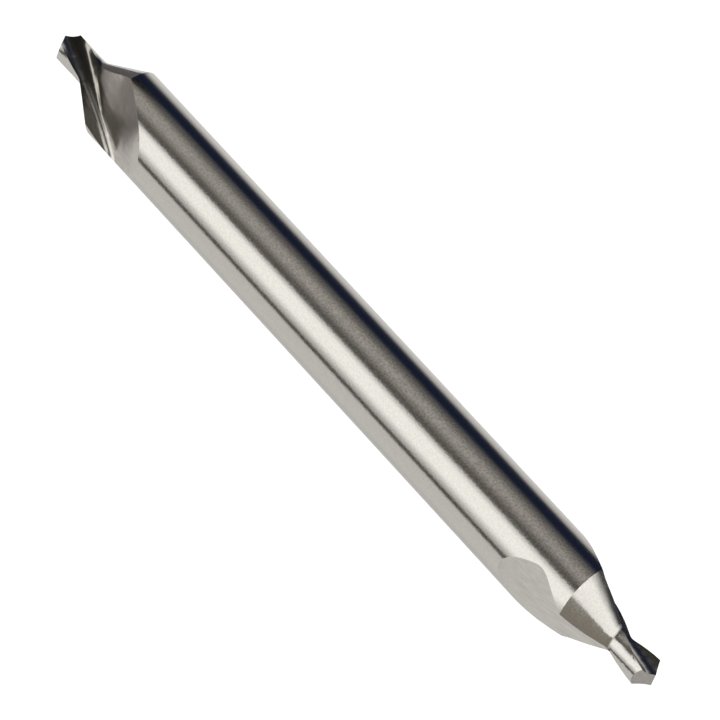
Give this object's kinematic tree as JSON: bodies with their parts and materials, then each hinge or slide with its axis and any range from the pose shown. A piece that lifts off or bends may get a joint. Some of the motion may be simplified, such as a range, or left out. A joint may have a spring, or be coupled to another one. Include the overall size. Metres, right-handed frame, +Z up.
{
  "type": "centre drill",
  "caption": "Double-ended combined centre drill and 60 degree countersink: round ground shank, short pilot and cone with two spiral flutes on each end.",
  "frame": {"origin": "on the tool's axis, halfway between the two tips", "axes": "+X along the tool's axis towards one tip, +Z up with the tool lying level"},
  "size_m": [0.033, 0.0032, 0.0032],
  "materials": {
    "ground_steel": "cylindrically ground, fine grain"
  },
  "bodies": {
    "root": {"centre_drill": "ground_steel"}
  },
  "joints": []
}
